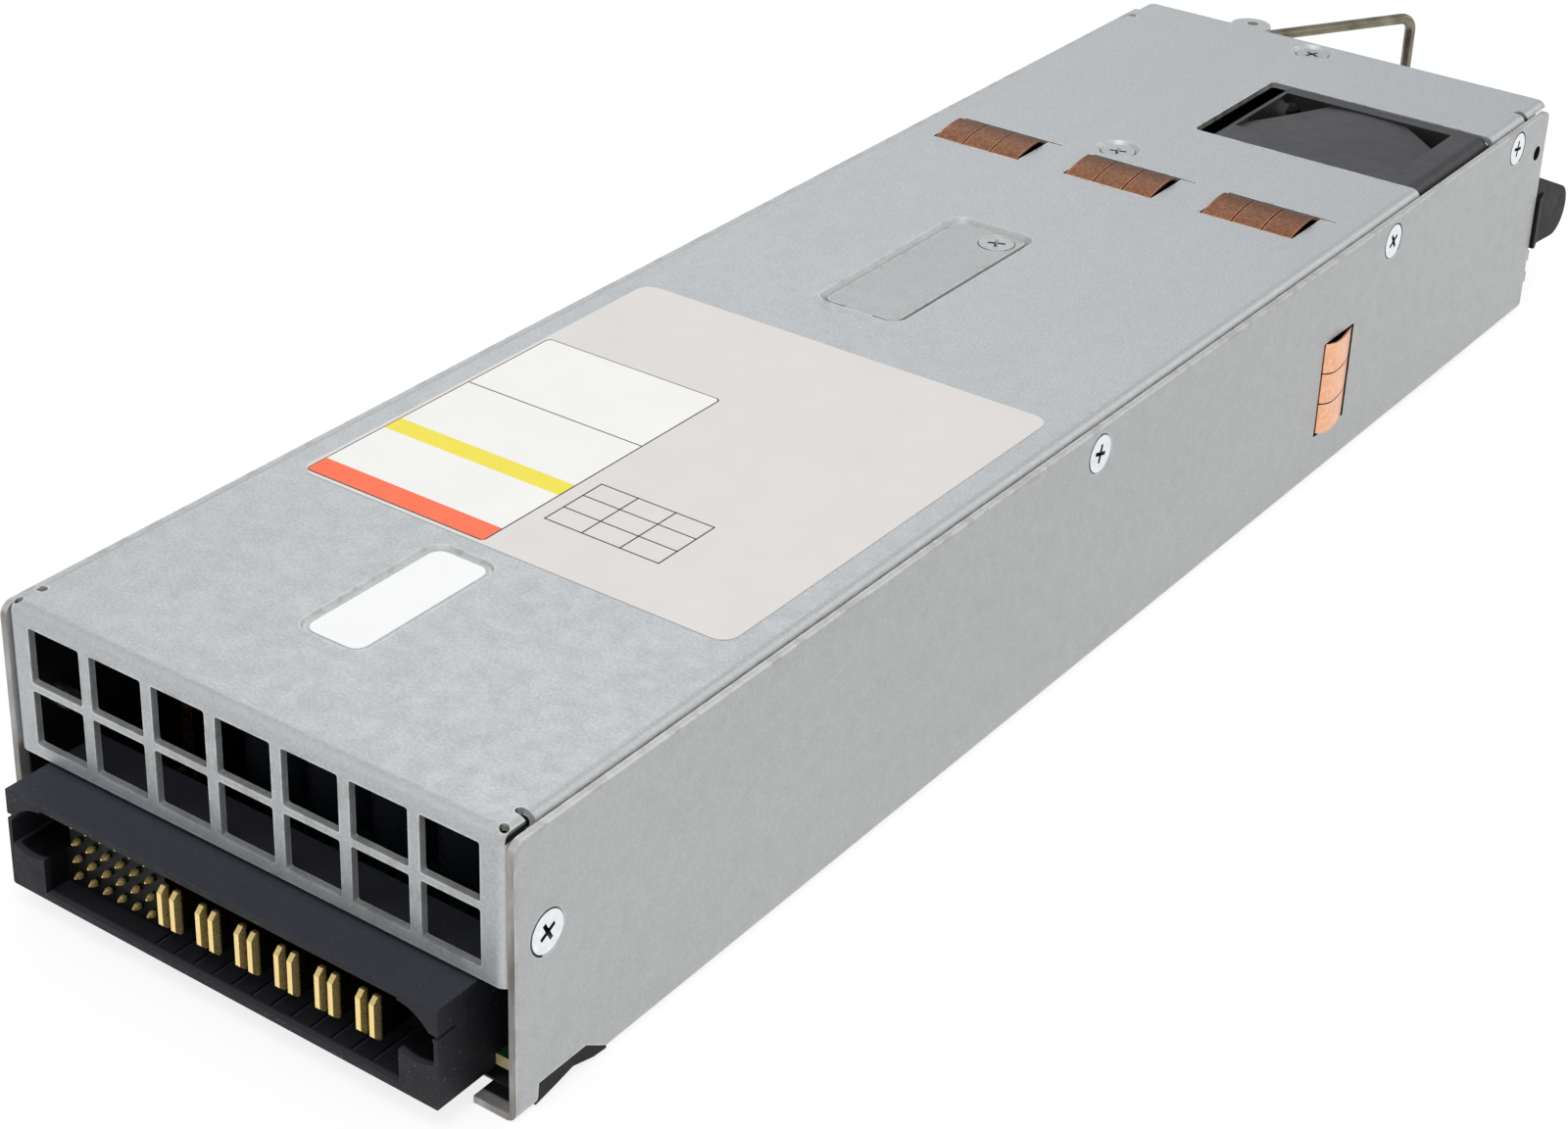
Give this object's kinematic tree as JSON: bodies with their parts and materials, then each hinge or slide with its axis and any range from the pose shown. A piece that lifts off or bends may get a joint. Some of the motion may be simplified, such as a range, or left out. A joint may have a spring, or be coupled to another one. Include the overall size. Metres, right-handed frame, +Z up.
{
  "type": "hot swap server power supply",
  "caption": "Hot swap server power supply: folded sheet-metal case with a fan, blind-mate card connector, mains inlet, release latch and swinging wire bail.",
  "frame": {"origin": "centre of the case's underside, halfway between its front plane and the end of its side walls", "axes": "+X across the case towards the fan and latch side, +Y from the blind-mate connector to the mains inlet end, +Z up from the face it rests on"},
  "size_m": [0.084, 0.3214, 0.0406],
  "materials": {
    "case_steel": "zinc-plated sheet, fine satin grain",
    "cover_steel": "zinc-plated sheet, fine satin grain",
    "hatch_steel": "zinc-plated sheet, satin",
    "screw_steel": "bright zinc plate",
    "finger_copper": "bare beryllium copper spring strip",
    "connector_plastic": "glass-filled, matt black",
    "contact_gold": "gold-plated",
    "board_green": "solder mask over glass laminate",
    "film_clear": "translucent insulating film",
    "standoff_brass": "turned brass",
    "can_sleeve": "shrink sleeve",
    "small_can": "bare aluminium can",
    "ferrite": "sintered ferrite",
    "choke_core": "coated powder core",
    "copper_wire": "enamelled copper",
    "coil_tape": "polyester tape",
    "sink_aluminium": "extruded, clear anodised",
    "package_black": "moulded epoxy",
    "film_box": "moulded box",
    "fuse_glass": "clear glass",
    "fuse_metal": "nickel plate",
    "bare_copper": "bare copper",
    "fan_plastic": "glass-filled, matt black",
    "rotor_plastic": "glass-filled, satin black",
    "shaft_steel": "ground",
    "lead_sleeve": "insulated wire",
    "inlet_plastic": "moulded thermoplastic, matt black",
    "lamp_clear": "clear moulded light pipe",
    "latch_plastic": "moulded, satin grey",
    "latch_steel": "spring steel",
    "bail_wire": "yellow-chromated steel wire"
  },
  "bodies": {
    "unit": {"chassis_tray": "case_steel", "top_cover": "cover_steel", "hatch_plate": "hatch_steel", "end_panel": "case_steel", "side_screws": "screw_steel", "cover_screws": "screw_steel", "top_contact_fingers": "finger_copper", "side_contact_fingers": "finger_copper", "connector_housing": "connector_plastic", "signal_pins": "contact_gold", "power_blades": "contact_gold", "main_board": "board_green", "insulator_film": "film_clear", "board_standoffs": "standoff_brass", "board_screws": "screw_steel", "bulk_capacitors": "can_sleeve", "output_capacitors": "small_can", "boost_choke_core": "choke_core", "boost_choke_winding": "copper_wire", "filter_choke_core": "choke_core", "filter_choke_winding": "copper_wire", "transformer_core": "ferrite", "transformer_coil": "coil_tape", "primary_heat_sink": "sink_aluminium", "secondary_heat_sink": "sink_aluminium", "primary_transistors": "package_black", "secondary_transistors": "package_black", "film_capacitors": "film_box", "bridge_rectifier": "package_black", "fuse_glass": "fuse_glass", "fuse_caps": "fuse_metal", "output_inductor_core": "ferrite", "output_inductor_strap": "bare_copper", "bus_bars": "bare_copper", "control_board": "board_green", "control_chips": "package_black", "fan_frame": "fan_plastic", "fan_motor": "bare_copper", "fan_lead": "lead_sleeve", "mains_inlet": "inlet_plastic", "inlet_blades": "contact_gold", "inlet_leads": "lead_sleeve", "status_lamp": "lamp_clear", "latch_pin": "shaft_steel", "latch_spring": "latch_steel"},
    "fan_rotor": {"fan_impeller": "rotor_plastic", "fan_shaft": "shaft_steel"},
    "latch": {"latch_lever": "latch_plastic"},
    "bail": {"wire_bail": "bail_wire"}
  },
  "joints": [
    {"name": "fan_spin", "type": "hinge", "parent": "unit", "child": "fan_rotor", "pos_m": [0.0198, 0.1055, 0.0198], "axis": [0, 1, 0], "continuous": true},
    {"name": "latch_pivot", "type": "hinge", "parent": "unit", "child": "latch", "pos_m": [0.0352, 0.1351, 0.0188], "axis": [0, 0, 1], "range_deg": [0, 10], "stiffness_Nm_per_rad": 0.4, "springref_deg": -8.59, "deforming": ["latch_spring"]},
    {"name": "bail_pivot", "type": "hinge", "parent": "unit", "child": "bail", "pos_m": [-0.0187, 0.1435, 0.0198], "axis": [0, 0, 1], "range_deg": [-54, 60]}
  ]
}
